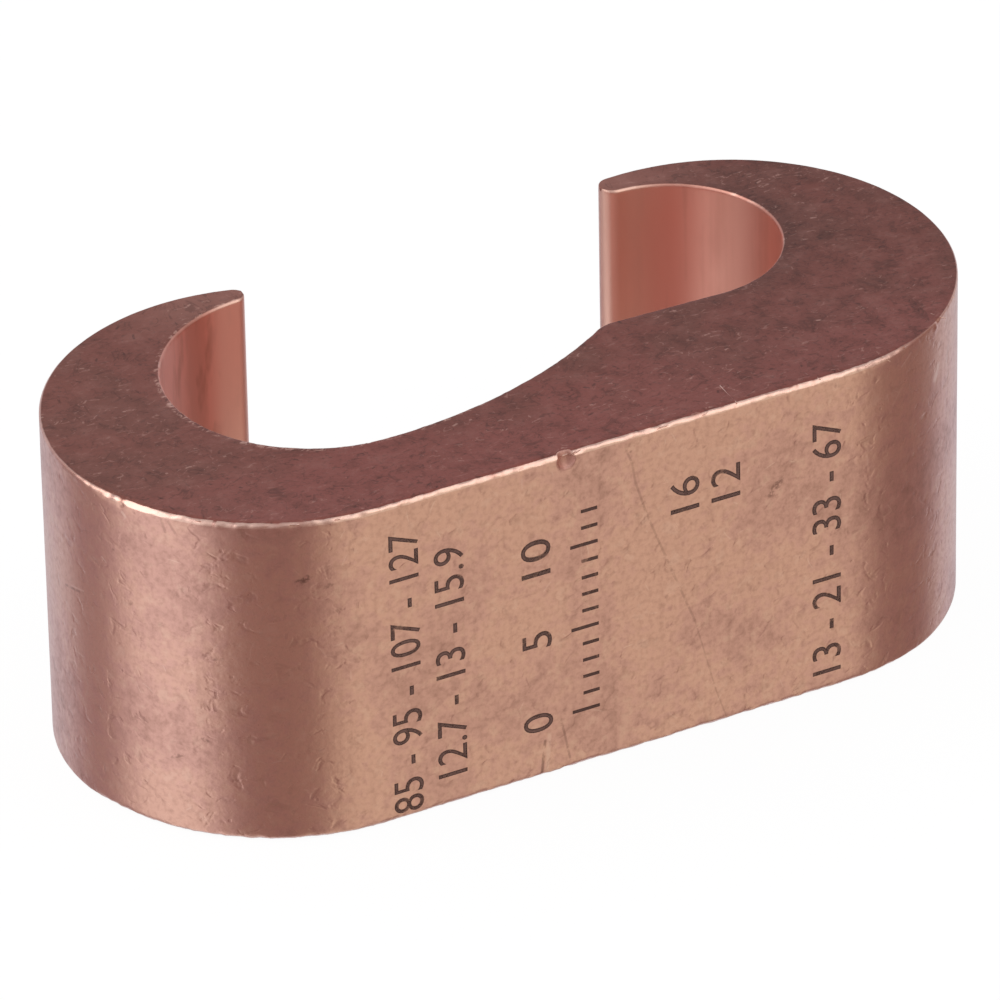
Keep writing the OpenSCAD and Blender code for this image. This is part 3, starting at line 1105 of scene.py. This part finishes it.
class CONNECTOR_OT_stage(bpy.types.Operator):
    """Sets the floor, the soft lights, the surroundings and the camera"""

    bl_idname = "connector.stage"
    bl_label = "Studio Stage"

    # Camera found from the photograph: angles in degrees, lengths in millimetres
    AZIMUTH, ELEVATION, ROLL = -27.662, 31.432, -1.087
    DISTANCE, LENS = 560.293, 385.106
    TARGET = (-0.556, -0.425, 9.55)
    # Colours of the even surroundings and of the gaps between the panels
    EVEN = (0.62, 0.62, 0.64)
    GAP = (0.312, 0.218, 0.205)
    # Soft panels: azimuth, half widths of the soft rim and of the full panel in degrees, colour
    PANELS = (
        (138, 40, 15, (0.360, 0.268, 0.280)),
        (64, 63, 50, (0.70, 0.72, 0.79)),
        (185, 35, 10, (1.0, 1.0, 1.0)),
        (291, 29, 10, (0.79, 0.755, 0.65)),
    )
    # Soft boxes: azimuth and elevation in degrees, then distance and size in metres
    KEY_PLACE = (307, 49)
    SIDE_PLACE = (162, 42)
    BOX_DISTANCE, BOX_SIZE = 0.55, 0.34

    def execute(self, context):
        stage = context.scene.connector_stage
        self.floor(stage)
        self.surroundings(context.scene)
        self.soft_box("key_light", *self.KEY_PLACE, stage.key_power)
        self.soft_box("side_light", *self.SIDE_PLACE, stage.side_power)
        self.camera(context.scene)
        context.scene.view_settings.view_transform = "Standard"
        return {"FINISHED"}

    def floor(self, stage):
        rim = arc(Vector((0, 0)), stage.floor_radius, 0.0, 2 * math.pi, 97)[:-1]
        # Just under the object, so that the two don't share a plane
        level = -0.02 * MM
        mesh = bpy.data.meshes.new("studio_floor")
        mesh.from_pydata([(p.x, p.y, level) for p in rim], [], [list(range(len(rim)))])
        floor = link(bpy.data.objects.new("studio_floor", mesh))
        material, b = new_material("pale_floor")
        matt = b.node("ShaderNodeBsdfDiffuse", None, {"Color": (*stage.floor_color, 1.0)})
        white = b.node("ShaderNodeEmission", None, {"Color": (1, 1, 1, 1), "Strength": 1.03})
        # The camera sees mostly white, and enough of the lit floor for a faint shadow
        _, seen = seen_rays(b)
        b.node("ShaderNodeOutputMaterial", None, {"Surface": b.blend(seen * 0.92, matt, white)})
        mesh.materials.append(material)
        floor.visible_glossy = False

    def surroundings(self, scene):
        """White to look at or through; copper mirrors its white panels and darker gaps; the rest is even."""
        world = bpy.data.worlds.new("studio_surroundings")
        scene.world = world
        world.use_nodes = True
        # Rays that meet the surroundings by chance are enough, since the panels are soft
        world.cycles.sampling_method = "NONE"
        world.node_tree.nodes.clear()
        b = Bench(world.node_tree)
        x, y, z = b.parts(b.node("ShaderNodeTexCoord")["Generated"])
        level = (x * x + y * y).math("SQRT").math("MAXIMUM", 0.001)
        glow = self.GAP
        for azimuth, rim, full, color in self.PANELS:
            turn = math.radians(azimuth)
            facing = (x * math.cos(turn) + y * math.sin(turn)) / level
            panel = b.smooth(facing, math.cos(math.radians(rim)), math.cos(math.radians(full)))
            glow = b.mix(panel, glow, color)
        # The panels fade to an even ceiling
        glow = b.mix(b.smooth(z, 0.55, 0.9), glow, self.EVEN)
        rays, seen = seen_rays(b)
        glow = b.mix(rays["Is Glossy Ray"], self.EVEN, glow)
        glow = b.mix(seen, glow, (1.0, 1.0, 1.0))
        back = b.node("ShaderNodeBackground", None, {"Color": glow, "Strength": 1.0})
        b.node("ShaderNodeOutputWorld", None, {"Surface": back})

    def soft_box(self, name, azimuth, elevation, power):
        turn, rise = math.radians(azimuth), math.radians(elevation)
        way = Vector((math.cos(turn) * math.cos(rise), math.sin(turn) * math.cos(rise), math.sin(rise)))
        lamp = bpy.data.lights.new(name, "AREA")
        lamp.shape = "SQUARE"
        lamp.size = self.BOX_SIZE
        lamp.energy = power
        box = link(bpy.data.objects.new(name, lamp))
        box.location = way * self.BOX_DISTANCE
        box.rotation_euler = way.to_track_quat("Z", "Y").to_euler()

    def camera(self, scene):
        turn, rise, roll = (math.radians(a) for a in (self.AZIMUTH, self.ELEVATION, self.ROLL))
        back = Vector((math.sin(turn) * math.cos(rise), -math.cos(turn) * math.cos(rise), math.sin(rise)))
        right = Vector((math.cos(turn), math.sin(turn), 0.0))
        up = back.cross(right)
        c, s = math.cos(roll), math.sin(roll)
        right, up = c * right + s * up, c * up - s * right
        data = bpy.data.cameras.new("photo_camera")
        data.sensor_width = 36.0
        data.lens = self.LENS
        data.clip_start, data.clip_end = 0.01, 20.0
        camera = link(bpy.data.objects.new("photo_camera", data))
        facing = Matrix((right, up, back)).transposed().to_4x4()
        spot = (Vector(self.TARGET) + back * self.DISTANCE) * MM
        camera.matrix_world = Matrix.Translation(spot) @ facing
        scene.camera = camera


class CONNECTOR_PT_panel(bpy.types.Panel):
    """Lists the connector's pieces and sizes"""

    bl_idname = "CONNECTOR_PT_panel"
    bl_label = "Ground Connector"
    bl_space_type = "VIEW_3D"
    bl_region_type = "UI"
    bl_category = "Connector"

    def draw(self, context):
        for operator in OPERATORS:
            self.layout.operator(operator.bl_idname)
        for name, kind in GROUPS.items():
            box = self.layout.box()
            for key in kind.__annotations__:
                box.prop(getattr(context.scene, name), key)


OPERATORS = (
    CONNECTOR_OT_body, CONNECTOR_OT_burrs, CONNECTOR_OT_numbers, CONNECTOR_OT_scale, CONNECTOR_OT_stage)
GROUPS = {
    "connector_shape": ConnectorShape,
    "connector_finish": ConnectorFinish,
    "connector_print": ConnectorPrint,
    "connector_stage": ConnectorStage,
}
CLASSES = (*GROUPS.values(), *OPERATORS, CONNECTOR_PT_panel)


def register():
    for kind in CLASSES:
        bpy.utils.register_class(kind)
    for name, group in GROUPS.items():
        setattr(bpy.types.Scene, name, bpy.props.PointerProperty(type=group))


def unregister():
    for name in GROUPS:
        delattr(bpy.types.Scene, name)
    for kind in reversed(CLASSES):
        bpy.utils.unregister_class(kind)


def main():
    register()
    bpy.ops.connector.body()
    bpy.ops.connector.burrs()
    bpy.ops.connector.numbers()
    bpy.ops.connector.scale()
    bpy.ops.connector.stage()


if __name__ == "__main__":
    main()
